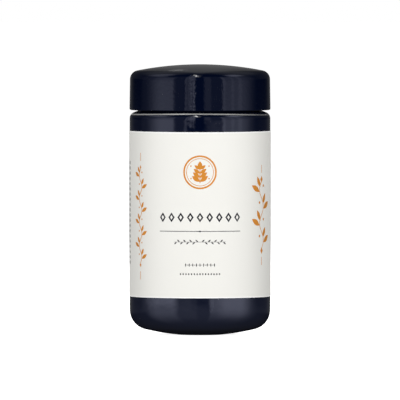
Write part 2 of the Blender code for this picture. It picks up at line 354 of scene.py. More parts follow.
def grown(name, mesh, tree, inputs):
    """The mesh as a Geometry Nodes tree leaves it, as a plain object of that name."""
    piece = new_object(name, mesh)
    modifier = piece.modifiers.new(tree.name, "NODES")
    modifier.node_group = tree
    for item in tree.interface.items_tree:
        if item.name in inputs:
            modifier[item.identifier] = inputs[item.name]
    depsgraph = bpy.context.evaluated_depsgraph_get()
    made = bpy.data.meshes.new_from_object(
        piece.evaluated_get(depsgraph), preserve_all_data_layers=True, depsgraph=depsgraph)
    piece.modifiers.clear()
    piece.data = made
    bpy.data.meshes.remove(mesh)
    return piece


def here(tree):
    """The place, on its own piece, of the point that is being coloured."""
    return add(tree, "ShaderNodeTexCoord").outputs["Object"]


def noise(place, scale, detail):
    """A noise value, from 0 to 1, at a place."""
    values = {"Vector": place, "Scale": scale, "Detail": detail}
    return result(place.id_data, "ShaderNodeTexNoise", values)


def moulded_skin_group():
    """Shader group: the slow waves and fine grain of a moulded wall, and masks of its dust and smears."""
    tree, given = new_group("ShaderNodeTree", "moulded skin",
                            {"Float": SKIN_SIZES}, {"Float": "Height, Dust, Smear"})
    place = here(tree)

    def per_metre(size):
        """How many times a size fits in a metre."""
        return maths("DIVIDE", 1.0, given[size])

    waves = times(noise(place, per_metre("Wave size"), 1.0), given["Wave height"])
    grain = times(noise(place, per_metre("Grain size"), 2.0), given["Grain height"])
    cells = add(tree, "ShaderNodeTexVoronoi", {"Vector": place, "Scale": per_metre("Speck spacing")})
    reach = times(cells.outputs["Distance"], given["Speck spacing"])
    chance = result(tree, "ShaderNodeSeparateColor", {0: cells.outputs["Color"]})
    size = times(maths("SUBTRACT", chance, 0.5), given["Speck size"])
    smear = rescaled(noise(place, 1 / SMEAR_SIZE, 3.0), *SMEAR_RANGE)
    add(tree, "NodeGroupOutput", {"Height": maths("ADD", waves, grain),
                                  "Dust": maths("LESS_THAN", reach, size), "Smear": smear})
    return tree


def blended(share, first, second):
    """A colour between two colours."""
    mix = {0: share, 6: first, 7: second}
    return add(share.id_data, "ShaderNodeMix", mix, data_type="RGBA").outputs[2]


def new_finish(name):
    """A new material and its Principled shader."""
    material = bpy.data.materials.new(name)
    material.use_nodes = True
    return material, material.node_tree.nodes["Principled BSDF"]


def surfaced_finish(name, surface, sizes):
    """A new material with a surface group's relief, its shader and what the group puts out."""
    material, shader = new_finish(name)
    face = add(material.node_tree, "ShaderNodeGroup", sizes, node_tree=surface).outputs
    bump = result(material.node_tree, "ShaderNodeBump", {"Height": face["Height"], "Distance": 1.0})
    feed(shader, {"Normal": bump})
    return material, shader, face


moulded_skin = moulded_skin_group()


def moulded_finish(name, skin):
    """A new material of a moulded wall, its shader and what its skin puts out."""
    sizes = {size: value * MM for size, value in zip(SKIN_SIZES.split(", "), skin)}
    return surfaced_finish(name, moulded_skin, sizes)


def violet_glass():
    """Near-black glass, glossy and a little wavy, with a few specks of dust and a pale line painted round
    the shoulder as a highlight.
    """
    material, shader, wall = moulded_finish("violet glass", GLASS_SKIN)
    place = axes(here(material.node_tree))
    across = maths("SQRT", maths("ADD", maths("POWER", place["X"], 2.0), maths("POWER", place["Y"], 2.0)))
    # A pale, rougher band painted round the shoulder as a highlight, just under the lid's edge, lower at
    # the sides and fainter in places.
    outer = maths("GREATER_THAN", across, NECK_RADIUS + 2 * NECK_FILLET)
    sideways = maths("POWER", maths("DIVIDE", place["X"], across), 2.0)
    level = maths("MULTIPLY_ADD", sideways, SHOULDER_HIGHLIGHT_DIP, place["Z"])
    level = maths("MULTIPLY_ADD", place["X"], SHOULDER_HIGHLIGHT_TILT, level)
    shoulder_highlight = times(between(level, SHOULDER_HIGHLIGHT_Z - SHOULDER_HIGHLIGHT_HALF, SHOULDER_HIGHLIGHT_Z + SHOULDER_HIGHLIGHT_HALF, SHOULDER_HIGHLIGHT_BLUR), outer)
    for start, end, share in SHOULDER_HIGHLIGHT_FADES:
        fade = rescaled(place["X"], start * wall_radius, end * wall_radius, 1.0, share)
        shoulder_highlight = times(shoulder_highlight, fade)
    dusty = blended(wall["Dust"], GLASS_COLOUR, DUST_COLOUR)
    rough = maths("MULTIPLY_ADD", wall["Smear"], SMEAR_ROUGHNESS, GLASS_ROUGHNESS)
    feed(shader, {"Base Color": blended(shoulder_highlight, dusty, SHOULDER_HIGHLIGHT_COLOUR), "IOR": GLASS_IOR,
                  "Roughness": maths("MULTIPLY_ADD", shoulder_highlight, SHOULDER_HIGHLIGHT_ROUGHNESS, rough)})
    return material


turned = turned_piece_tree()
outside = glass_outside()
shoulder_foot = outside[-1][:2]
glass_outline = outline_mesh(outside + glass_neck(shoulder_foot) + glass_inside(shoulder_foot))
glass = grown("glass", glass_outline, turned, {
    **THREAD, "Ridge start": JAR_THREAD_Z, "Ridge turns": JAR_THREAD_TURNS, "Sides": GLASS_SIDES,
    "Knurls": KNURLS, "Finish": violet_glass()})
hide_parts("jar")
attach(glass, "jar")

# ============================================
# The label: one sheet of warm white paper, glued round the jar so that its two ends stop a little
# apart behind. It is printed in copper, charcoal and grey: a leaf sprig, rows of small ornaments,
# two copper vines and a lattice at the sides. The print is flat, so it is cut into the sheet's faces.
label_low, label_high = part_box("label")
label_radius = label_high.x
PAPER = 0.15 * MM
TOP_TRIM = 0.17 * MM            # how much shorter the sheet is than the model's
FOOT_TRIM = 0.24 * MM
paper_low_z = label_low.z + FOOT_TRIM
paper_high_z = label_high.z - TOP_TRIM
SEAM = 3.0 * MM                 # the gap between the sheet's two ends
FIBRE_SIZE = 0.35 * MM
PAPER_RELIEF = 0.004 * MM       # how high the fibres stand on bare paper
INK_RELIEF = 0.003 * MM         # and under ink
CLOUD_SIZE = 9 * MM             # of the paper's faint unevenness of tone
EDGE_HIGHLIGHT_MARGIN = 0.55 * MM         # painted highlight: the paper is paler this near its top and its foot
EDGE_HIGHLIGHT_BLUR = 0.1 * MM

PAPER_COLOUR = (0.885, 0.876, 0.828, 1)
# The paler colour of the sheet's top and foot is a painted highlight.
PAPER_EDGE_HIGHLIGHT_COLOUR = (1.0, 0.995, 0.97, 1)
COPPER_COLOUR = (0.79, 0.305, 0.040, 1)
CHARCOAL_COLOUR = (0.018, 0.018, 0.021, 1)
GREY_COLOUR = (0.30, 0.30, 0.29, 1)
BARE, COPPER, CHARCOAL, GREY = range(4)

# The flat label is laid out in mm, u round the jar from the middle of its front and v up from the table.
EMBLEM_V = 81.6
EMBLEM_RINGS = ((8.4, 0.84), (6.9, 0.30))  # outer radius and line
SPRIG_FOOT_V = EMBLEM_V - 5.4
SPRIG_TOP_V = EMBLEM_V + 2.4
SPRIG_STEM = 0.44
CHAIN_V = 59.2
CHAIN_PITCH = 4.85
RULE_V = 52.3
RULE_HALF, RULE_LINE = 21.2, 0.34
GARLAND_V = 47.0
GARLAND_HALF, GARLAND_STEM = 13.0, 0.17
FIRST_MARKS_V = 35.6
FIRST_MARKS_PITCH = 1.8
SECOND_MARKS_V = 31.1
SECOND_MARKS_PITCH = 1.4
VINE_STEM = 0.42
DASH_ENDS, DASH_LINE = (4.2, 8.2), 0.40  # of the dash past each end of a vine
LEAF_COLUMNS_U = (-49.4, -52.4)  # two columns of leaf shapes
LEAF_COLUMNS_V = 35.0
LATTICES_U = ((-84.0, -56.0), (56.0, 84.4))  # left and right edge of each panel
LATTICE_V = (33.0, 85.0)        # and their foot and top
LATTICE_PITCH = 3.1
PAPER_STEP = 1.9                # between the sheet's columns of points
PAPER_ROW = 9                   # and between its rows
SAME_SPOT = 1e-4                # print corners closer than this are joined


def lens(length, width, steps=7):
    """A pointed oval from the origin along +v, as corners (u, v) in mm, anticlockwise."""
    right = [(width / 2 * math.sin(math.pi * i / steps), length * i / steps) for i in range(steps + 1)]
    return right + [(-u, v) for u, v in reversed(right[1:-1])]


def lozenge(width, height):
    """The corners of an upright diamond."""
    return [(width / 2, 0), (0, height / 2), (-width / 2, 0), (0, -height / 2)]


def disc(radius, steps=10):
    """The corners of a round dot."""
    turns = [math.tau * i / steps for i in range(steps)]
    return [(radius * math.cos(turn), radius * math.sin(turn)) for turn in turns]


def motif_row_tree():
    """Geometry Nodes: repeats a flat motif along a row, turned to one side or to each side in turn."""
    tree, given = new_group("GeometryNodeTree", "motif row", {
        "Geometry": "Motif", "Int": "Count", "Vector": "Start, Step", "Material": "Ink",
        "Float": "Turn, Turn back, First size, Last size"}, {"Geometry": "Row"})

    def mixed(share, first, second):
        """A value between two of those that the tree is given."""
        mix = {0: share, 2: given[first], 3: given[second]}
        return result(tree, "ShaderNodeMix", mix, data_type="FLOAT")

    index = result(tree, "GeometryNodeInputIndex")
    last = maths("MAXIMUM", maths("SUBTRACT", given["Count"], 1.0), 1.0)
    turn = mixed(maths("MODULO", index, 2.0), "Turn", "Turn back")
    line = result(tree, "GeometryNodeMeshLine",
                  {"Count": given["Count"], "Start Location": given["Start"], "Offset": given["Step"]})
    motifs = result(tree, "GeometryNodeInstanceOnPoints", {
        "Points": line, "Instance": given["Motif"], "Rotation": joined(tree, Z=turn),
        "Scale": mixed(maths("DIVIDE", index, last), "First size", "Last size")})
    return ended(tree, "Row", motifs, given["Ink"])


motif_row = motif_row_tree()
print_plan = []                 # (corners, ink), where a later one covers an earlier one


def stamp(corners, ink, start, count=1, step=(0, 0), turn=0, turn_back=None, sizes=(1, 1)):
    """Prints a row of one motif on the flat label."""
    mesh = bpy.data.meshes.new("motif")
    mesh.from_pydata([(u, v, 0) for u, v in corners], [], [range(len(corners))])
    back = turn if turn_back is None else turn_back
    row = grown("motif", mesh, motif_row, {
        "Count": count, "Start": (*start, 0), "Step": (*step, 0), "Turn": math.radians(turn),
        "Turn back": math.radians(back), "First size": float(sizes[0]), "Last size": float(sizes[1])})
    for face in row.data.polygons:
        print_plan.append(([tuple(row.data.vertices[v].co[:2]) for v in face.vertices], ink))
    bpy.data.objects.remove(row)


def stroke(points, width, ink):
    """Prints a line of even width along points on the flat label, as one four-sided patch a step."""
    sides = []
    for i, (u, v) in enumerate(points):
        before, after = points[max(i - 1, 0)], points[min(i + 1, len(points) - 1)]
        along = Vector((after[0] - before[0], after[1] - before[1])).normalized() * width / 2
        sides.append(((u + along.y, v - along.x), (u - along.y, v + along.x)))
    for (a, b), (c, d) in zip(sides, sides[1:]):
        print_plan.append(([a, c, d, b], ink))


def medallion():
    """The copper emblem: a sprig of paired leaves in a double ring."""
    for radius, line in EMBLEM_RINGS:
        for size, ink in ((radius, COPPER), (radius - line, BARE)):
            print_plan.append(([(u, v + EMBLEM_V) for u, v in disc(size, steps=56)], ink))
    stroke([(0, SPRIG_FOOT_V), (0, SPRIG_TOP_V)], SPRIG_STEM, COPPER)
    leaf = lens(length=4.9, width=2.3)
    for side in (1, -1):
        stamp(leaf, COPPER, (0, SPRIG_FOOT_V + 0.7), count=4, step=(0, 2.05),
              turn=-54 * side, sizes=(1.0, 0.70))
    stamp(lens(length=4.0, width=2.3), COPPER, (0, SPRIG_TOP_V - 0.9))
    for side in (1, -1):
        stamp(disc(radius=0.38), COPPER, (side * 4.5, EMBLEM_V + 3.1), count=2, step=(0, -6.2))


def centred_row(corners, ink, v, count, pitch):
    """Prints a level row of one motif, evenly to both sides of the middle."""
    stamp(corners, ink, ((1 - count) / 2 * pitch, v), count, (pitch, 0))


def ornament_rows():
    """Under the emblem: a chain of open lozenges, a rule, a leaf garland, and two rows of small marks."""
    centred_row(lozenge(width=3.4, height=4.9), CHARCOAL, CHAIN_V, 9, CHAIN_PITCH)
    centred_row(lozenge(width=1.5, height=2.3), BARE, CHAIN_V, 9, CHAIN_PITCH)
    stroke([(u, RULE_V) for u in (-RULE_HALF, 0, RULE_HALF)], RULE_LINE, CHARCOAL)
    stamp(lozenge(width=1.6, height=0.9), CHARCOAL, (0, RULE_V))
    stroke([(-GARLAND_HALF, GARLAND_V), (GARLAND_HALF, GARLAND_V)], GARLAND_STEM, CHARCOAL)
    leaf = lens(length=1.8, width=0.64, steps=5)
    for side in (1, -1):
        stamp(leaf, CHARCOAL, (side * 0.9, GARLAND_V), count=8, step=(side * 1.55, 0),
              turn=-side * 50, turn_back=-side * 130)
    centred_row(lozenge(width=0.7, height=1.9), CHARCOAL, FIRST_MARKS_V, 9, FIRST_MARKS_PITCH)
    centred_row(disc(radius=0.22, steps=8), CHARCOAL, FIRST_MARKS_V, 8, FIRST_MARKS_PITCH)
    centred_row(lozenge(width=0.85, height=1.15), CHARCOAL, SECOND_MARKS_V, 15, SECOND_MARKS_PITCH)


def vine(u, low_v, high_v, waves, swing, leaf_length):
    """An upright copper vine: a waving stem with leaves to both sides, a bud at each end and a dash."""
    steps = waves * 14
    height = high_v - low_v
    stem = [(u + swing * math.sin(math.tau * waves * i / steps), low_v + height * i / steps)
            for i in range(steps + 1)]
    stroke(stem, VINE_STEM, COPPER)
    wave = height / waves
    leaf = lens(leaf_length, leaf_length * 0.40)
    berry = disc(leaf_length * 0.10, steps=8)
    bud = lozenge(leaf_length * 0.34, leaf_length * 0.5)
    for side, crest in ((1, 0.25), (-1, 0.75)):     # where on a wave the stem swings out to each side
        for lift, tilt in ((0.0, 62), (0.55, 28)):  # a leaf there, and a smaller, steeper one above it
            start = (u + side * swing * (1 - lift * 0.7), low_v + wave * (crest + 0.25 * lift - 0.06))
            stamp(leaf, COPPER, start, waves, (0, wave), turn=-side * tilt, sizes=(1 - 0.25 * lift,) * 2)
        stamp(berry, COPPER, (u - side * swing, low_v + wave * (crest + 0.12)), waves, (0, wave))
    for end, way in ((low_v, -1), (high_v, 1)):
        stamp(bud, COPPER, (u, end + way * 1.0))
        stroke([(u, end + way * reach) for reach in DASH_ENDS], DASH_LINE, COPPER)


def lattice(first_u, last_u):
    """A panel of small grey lozenges in staggered rows."""
    columns = int((last_u - first_u) / LATTICE_PITCH)
    half = LATTICE_PITCH / 2
    for i in range(int((LATTICE_V[1] - LATTICE_V[0]) / half)):
        odd = i % 2
        start = (first_u + odd * half, LATTICE_V[0] + i * half)
        stamp(lozenge(width=1.05, height=0.62), GREY, start, columns - odd, (LATTICE_PITCH, 0))


def sheet_of_paper():
    """The flat label with its print cut in: its points, its triangles and the ink of each."""
    half = label_radius / MM * (math.pi - SEAM / wall_radius / 2)
    low, high = paper_low_z / MM, paper_high_z / MM
    columns = math.ceil(2 * half / PAPER_STEP)
    rows = math.ceil((high - low) / PAPER_ROW)
    points, edges = [], []
    for i in range(columns + 1):
        for j in range(rows + 1):
            points.append(Vector((-half + 2 * half * i / columns, low + (high - low) * j / rows)))
            last = len(points) - 1
            edges += [(last - 1, last)] * (j > 0) + [(last - rows - 1, last)] * (i > 0)
    patches = []
    for corners, _ in print_plan:
        area = sum(a[0] * b[1] - b[0] * a[1] for a, b in zip(corners, corners[1:] + corners[:1]))
        first = len(points)
        points += [Vector(c) for c in (corners if area > 0 else corners[::-1])]
        patches.append(list(range(first, len(points))))
    places, _, faces, _, _, within = delaunay_2d_cdt(points, edges, patches, 0, SAME_SPOT, True)
    inks = [print_plan[max(cover)][1] if cover else BARE for cover in within]
    return places, faces, inks


def wrapped_label(places, faces, inks, inks_used):
    """Rolls the sheet onto the glass: printed outside, plain inside, with a cut edge all round."""

    def rolled(radius, place):
        """Where a place of the flat sheet comes to lie."""
        turn = place.x * MM / label_radius
        return (radius * math.sin(turn), -radius * math.cos(turn), place.y * MM)

    count = len(places)
    corners = [rolled(radius, place) for radius in (label_radius, label_radius - PAPER) for place in places]
    inside = [tuple(v + count for v in reversed(face)) for face in faces]
    sides = dict.fromkeys((a, b) for face in faces for a, b in zip(face, face[1:] + face[:1]))
    rim = [(b, a, a + count, b + count) for a, b in sides if (b, a) not in sides]
    mesh = bpy.data.meshes.new("label")
    mesh.from_pydata(corners, [], [tuple(face) for face in faces] + inside + rim)
    mesh.polygons.foreach_set("material_index", inks + [BARE] * (len(inside) + len(rim)))
    layer = mesh.uv_layers.new(name="UVMap").data
    normals = []
    for face in mesh.polygons:
        face.use_smooth = True
        for loop in face.loop_indices:
            spot = places[mesh.loops[loop].vertex_index % count]
            layer[loop].uv = (spot.x * MM, spot.y * MM)
            out = Vector((*rolled(1.0, spot)[:2], 0))
            if face.index < len(faces):
                normals.append(out)
            elif face.index < 2 * len(faces):
                normals.append(-out)
            else:
                normals.append(face.normal.copy())
    for material in inks_used:
        mesh.materials.append(material)
    mesh.normals_split_custom_set(normals)
    return new_object("wrap_label", mesh)


def printed_paper_group():
    """Shader group: the height of paper fibres and a faint unevenness of tone, for paper and for ink."""
    tree, given = new_group("ShaderNodeTree", "printed paper",
                            {"Float": "Fibre height"}, {"Float": "Height, Tone"})
    fibre = noise(here(tree), 1 / FIBRE_SIZE, 3.0)
    cloud = noise(here(tree), 1 / CLOUD_SIZE, 2.0)
    add(tree, "NodeGroupOutput", {"Height": times(fibre, given["Fibre height"]),
                                  "Tone": times(maths("ADD", fibre, cloud), 0.5)})
    return tree


printed_paper = printed_paper_group()


def darkened(colour, share):
    """A colour at a share of its brightness."""
    return tuple(c * share for c in colour[:3]) + (1,)


def printed(name, colour, darkest, roughness, relief=PAPER_RELIEF, metallic=0.0, edge_highlight_colour=None):
    """Paper or an ink on it: a colour that varies a little, and may be painted paler near the top and the
    foot as a highlight.
    """
    material, shader, face = surfaced_finish(name, printed_paper, {"Fibre height": relief})
    tone = blended(face["Tone"], darkened(colour, darkest), colour)
    # A paler band painted along the top and the foot as a highlight.
    if edge_highlight_colour:
        height = axes(here(material.node_tree))["Z"]
        inside = between(height, paper_low_z + EDGE_HIGHLIGHT_MARGIN, paper_high_z - EDGE_HIGHLIGHT_MARGIN, EDGE_HIGHLIGHT_BLUR)
        tone = blended(inside, edge_highlight_colour, tone)
    feed(shader, {"Base Color": tone, "Roughness": roughness, "Metallic": metallic})
    return material


medallion()
ornament_rows()
vine(u=-35.0, low_v=36.2, high_v=82.7, waves=4, swing=1.2, leaf_length=4.5)
vine(u=37.0, low_v=43.3, high_v=76.7, waves=2, swing=1.9, leaf_length=7.0)
for column_u in LEAF_COLUMNS_U:
    stamp(lens(length=2.4, width=1.7), CHARCOAL, (column_u, LEAF_COLUMNS_V), count=20, step=(0, 2.6))
for lattice_edges in LATTICES_U:
    lattice(*lattice_edges)
label = wrapped_label(*sheet_of_paper(), [
    printed("label paper", PAPER_COLOUR, darkest=0.97, roughness=0.55, edge_highlight_colour=PAPER_EDGE_HIGHLIGHT_COLOUR),
    printed("copper ink", COPPER_COLOUR, darkest=0.86, roughness=0.42, relief=INK_RELIEF, metallic=0.15),
    printed("charcoal ink", CHARCOAL_COLOUR, darkest=0.8, roughness=0.5, relief=INK_RELIEF),
    printed("grey ink", GREY_COLOUR, darkest=0.9, roughness=0.5, relief=INK_RELIEF)])
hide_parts("label")
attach(label, "jar")

# ============================================
# The liner: a disc of white polyethylene pressed into the lid, which seals the rim. A low ring on its
# underside bears on the glass.
liner_low, liner_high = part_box("liner")
LINER_EDGE = 0.3 * MM
LINER_SIDES = 128
RING_HEIGHT = 0.12 * MM
RING_FOOT = 1.2 * MM            # half widths of the ring, at the disc and at its crest
RING_CREST = 0.7 * MM
LINER_COLOUR = (0.80, 0.80, 0.77, 1)
LINER_SMEAR = 0.93              # brightness of a smear
LINER_ROUGHNESS = 0.42
LINER_SKIN = (6, 0.01, 0.4, 0.004, 9, 0.2)  # SKIN_SIZES, in mm


def polyethylene():
    """Satin white plastic with a fine grain."""
    material, shader, wall = moulded_finish("polyethylene", LINER_SKIN)
    colour = blended(wall["Smear"], LINER_COLOUR, darkened(LINER_COLOUR, LINER_SMEAR))
    feed(shader, {"Base Color": colour, "Roughness": LINER_ROUGHNESS})
    return material


def liner_outline():
    """From the middle of the underside, over the sealing ring and the edge, to the middle of the top."""
    ring_r = (BORE_RADIUS + NECK_RADIUS) / 2
    flat_z = liner_low.z + RING_HEIGHT
    ring = [(ring_r - RING_FOOT, flat_z), (ring_r - RING_CREST, liner_low.z),
            (ring_r + RING_CREST, liner_low.z), (ring_r + RING_FOOT, flat_z)]
    edge_r = liner_high.x - LINER_EDGE
    low_edge = arc((edge_r, flat_z + LINER_EDGE), LINER_EDGE, -90, 0, 4)
    high_edge = arc((edge_r, liner_high.z - LINER_EDGE), LINER_EDGE, 0, 90, 4)
    return marked([(0, flat_z)] + ring + low_edge + high_edge + [(0, liner_high.z)])


liner = grown("seal_liner", outline_mesh(liner_outline()), turned, {
    "Sides": LINER_SIDES, "Ridge lead": 1.0, "Ridge crest": 1.0, "Finish": polyethylene()})
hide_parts("liner")
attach(liner, "liner")

# ============================================
# The lid: one moulding of black plastic, smooth and semi-gloss, with a domed top and a slight draft.
# Inside the skirt a threaded collar grips the neck, held to the skirt by thin webs.
lid_low, lid_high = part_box("lid")
LID_SIDES = 256
LID_FOOT_RADIUS = lid_high.x
LID_HEAD_RADIUS = 34.86 * MM
LID_CORNER_RADIUS = 4.5 * MM
DOME_RADIUS = 161.9 * MM
DOME_WALL = 2.2 * MM
SKIRT_WALL = 1.65 * MM
COLLAR_WALL = 1.7 * MM
THREAD_CLEARANCE = 0.35 * MM
COLLAR_BORE = NECK_RADIUS + THREAD_HEIGHT + THREAD_CLEARANCE
COLLAR_BOTTOM_Z = 112.83 * MM
GROOVE_TOP_Z = 126.93 * MM
LAND_Z = 129.73 * MM
LAND_INNER_RADIUS = 24.5 * MM
LID_EDGE = 0.2 * MM
FOOT_CHAMFER = 0.4 * MM
LID_THREAD_DROP = 1.75 * MM     # the lid's ridge runs this far below the jar's
LID_THREAD_TURNS = 1.0
WEBS = 12
WEB_THICKNESS = 1.0 * MM
WEB_BOTTOM_Z = 114.93 * MM
WEB_SUNK = 0.5 * MM             # how far its top end runs into the plastic

LID_COLOUR = (0.0010, 0.0027, 0.0118, 1)
LID_ROUGHNESS = 0.042
LID_IOR = 1.45
LID_SKIN = (1.5, 0.030, 0.35, 0.003, 6, 0.22)  # SKIN_SIZES, in mm


def lid_outline():
    """From the middle of the inner dome, round the collar and the groove, up the outside to the apex."""
    corner_r = LID_HEAD_RADIUS - LID_CORNER_RADIUS
    dome_z = lid_high.z - DOME_RADIUS
    between_centres = DOME_RADIUS - LID_CORNER_RADIUS
    corner_z = dome_z + math.sqrt(between_centres**2 - corner_r**2)
    meet = math.degrees(math.acos(corner_r / between_centres))
    inner_radius = DOME_RADIUS - DOME_WALL
    inner_edge = math.degrees(math.acos((LAND_INNER_RADIUS - LID_EDGE) / inner_radius))
    inner_dome = arc((0, dome_z), inner_radius, 90, inner_edge, 8)
    land = [(LAND_INNER_RADIUS, LAND_Z), (COLLAR_BORE, LAND_Z)]
    bore = climb(COLLAR_BORE, COLLAR_BOTTOM_Z + LID_EDGE, LAND_Z - LID_EDGE, THREAD_ROW)[::-1]
    skirt_inside = LID_FOOT_RADIUS - SKIRT_WALL
    collar_outside = COLLAR_BORE + COLLAR_WALL
    groove = [(COLLAR_BORE + LID_EDGE, COLLAR_BOTTOM_Z), (collar_outside, COLLAR_BOTTOM_Z),
              (collar_outside, GROOVE_TOP_Z), (skirt_inside, GROOVE_TOP_Z), (skirt_inside, lid_low.z)]
    foot = [(LID_FOOT_RADIUS - FOOT_CHAMFER, lid_low.z), (LID_FOOT_RADIUS, lid_low.z + FOOT_CHAMFER)]
    corner = arc((corner_r, corner_z), LID_CORNER_RADIUS, 0, meet, 20)
    dome = arc((0, dome_z), DOME_RADIUS, meet, 90, 14)
    foot += straight(foot[-1], corner[0])
    collar = marked(bore, ridge=-THREAD_HEIGHT)
    return marked(inner_dome + land) + collar + marked(groove + foot + corner + dome[1:])


def black_plastic():
    """Smooth semi-gloss plastic with a blue cast, a little orange peel, faint smears and some dust."""
    material, shader, wall = moulded_finish("black plastic", LID_SKIN)
    feed(shader, {"Base Color": blended(wall["Dust"], LID_COLOUR, DUST_COLOUR), "IOR": LID_IOR,
                  "Roughness": maths("MULTIPLY_ADD", wall["Smear"], SMEAR_ROUGHNESS, LID_ROUGHNESS)})
    return material


def web_ring_tree():
    """Geometry Nodes: sets one web in the lid's groove and repeats it round the axis."""
    tree, given = new_group("GeometryNodeTree", "web ring", {
        "Geometry": "Lid", "Int": "Count", "Material": "Finish",
        "Float": "Inner radius, Outer radius, Thickness, Bottom, Top"}, {"Geometry": "Lid with webs"})
    reach = maths("SUBTRACT", given["Outer radius"], given["Inner radius"])
    height = maths("SUBTRACT", given["Top"], given["Bottom"])
    size = joined(tree, X=reach, Y=given["Thickness"], Z=height)
    web = add(tree, "GeometryNodeMeshCube", {"Size": size}).outputs["Mesh"]
    middle = joined(tree, X=maths("MULTIPLY_ADD", reach, 0.5, given["Inner radius"]),
                    Z=maths("MULTIPLY_ADD", height, 0.5, given["Bottom"]))
    placed = result(tree, "GeometryNodeTransform", {"Geometry": web, "Translation": middle})
    spots = result(tree, "GeometryNodeMeshLine", {"Count": given["Count"], "Offset": (0, 0, 0)})
    index = result(tree, "GeometryNodeInputIndex")
    share = maths("DIVIDE", maths("ADD", index, 0.5), given["Count"])
    spin = joined(tree, Z=times(share, math.tau))
    turned_webs = {"Points": spots, "Instance": placed, "Rotation": spin}
    both = add(tree, "GeometryNodeJoinGeometry", {0: given["Lid"]})
    feed(both, {0: result(tree, "GeometryNodeInstanceOnPoints", turned_webs)})
    return ended(tree, "Lid with webs", both.outputs[0], given["Finish"])


plastic = black_plastic()
bare_lid = grown("bare lid", outline_mesh(lid_outline()), turned, {
    **THREAD, "Ridge start": JAR_THREAD_Z - LID_THREAD_DROP, "Ridge turns": LID_THREAD_TURNS,
    "Sides": LID_SIDES, "Finish": plastic})
lid = grown("screw_lid", bare_lid.data.copy(), web_ring_tree(), {
    "Count": WEBS, "Inner radius": COLLAR_BORE + COLLAR_WALL / 2,
    "Outer radius": LID_FOOT_RADIUS - SKIRT_WALL / 2, "Thickness": WEB_THICKNESS,
    "Bottom": WEB_BOTTOM_Z, "Top": GROOVE_TOP_Z + WEB_SUNK, "Finish": plastic})
bpy.data.objects.remove(bare_lid)
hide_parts("lid")
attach(lid, "lid")

# ============================================
# The studio: a white floor and backdrop, soft lamps for the label, and round the jar a dome of soft
# boxes and dark cloth that only the glossy surfaces see, as a photographer flags off black glass.
AIM_HEIGHT = 66.93 * MM         # what the middle of the photograph shows
FLOOR_HALF = 9.0                # metres
FLOOR_COLOUR = (0.8, 0.8, 0.8, 1)
FLOOR_ROUGHNESS = 0.9
FLOOR_GLOW = 0.90
AMBIENT = 0.16
DOME_DISTANCE = 1.0
SHEEN_TINT = (0.745, 0.778, 1.0)  # of the soft boxes, the foil and the table


def stage_object(name, mesh, material):
    """A thing of the studio, which no glossy surface mirrors until it is told otherwise."""
    mesh.materials.append(material)
    thing = new_object(name, mesh)
    thing.visible_glossy = thing.visible_transmission = False
    return thing


def white_floor():
    """A pale floor, lit through from below so that only a faint shadow stays under the jar."""
    material, shader = new_finish("white floor")
    feed(shader, {"Base Color": FLOOR_COLOUR, "Roughness": FLOOR_ROUGHNESS, "Specular IOR Level": 0.0,
                  "Emission Color": (1, 1, 1, 1), "Emission Strength": FLOOR_GLOW})
    corners = [(x * FLOOR_HALF, y * FLOOR_HALF, 0) for x, y in ((-1, -1), (1, -1), (1, 1), (-1, 1))]
    mesh = bpy.data.meshes.new("floor")
    mesh.from_pydata(corners, [], [(0, 1, 2, 3)])
    stage_object("floor", mesh, material).visible_diffuse = False


# What shapes a soft box: left and right edge, blur of each, bottom and top edge, blur of each, in degrees.
BOX_EDGES = "Left, Right, Left blur, Right blur, Bottom, Top, Bottom blur, Top blur"


def soft_box_group():
    """Shader group: how much of a soft-edged lamp is seen at a place on the dome."""
    tree, given = new_group("ShaderNodeTree", "soft box",
                            {"Float": "Azimuth, Elevation, " + BOX_EDGES}, {"Float": "Lit"})

    def inside(value, first, last):
        """1 between two of the box's edges, which are blurred, and 0 beyond them."""
        lit = []
        for place, way in ((first, 1.0), (last, -1.0)):
            blur = given[place + " blur"]
            start = maths("MULTIPLY_ADD", blur, -way, given[place])
            end = maths("MULTIPLY_ADD", blur, way, given[place])
            lit.append(ramp(given[value], start, end))
        return times(*lit)

    lit = times(inside("Azimuth", "Left", "Right"), inside("Elevation", "Bottom", "Top"))
    add(tree, "NodeGroupOutput", {"Lit": lit})
    return tree


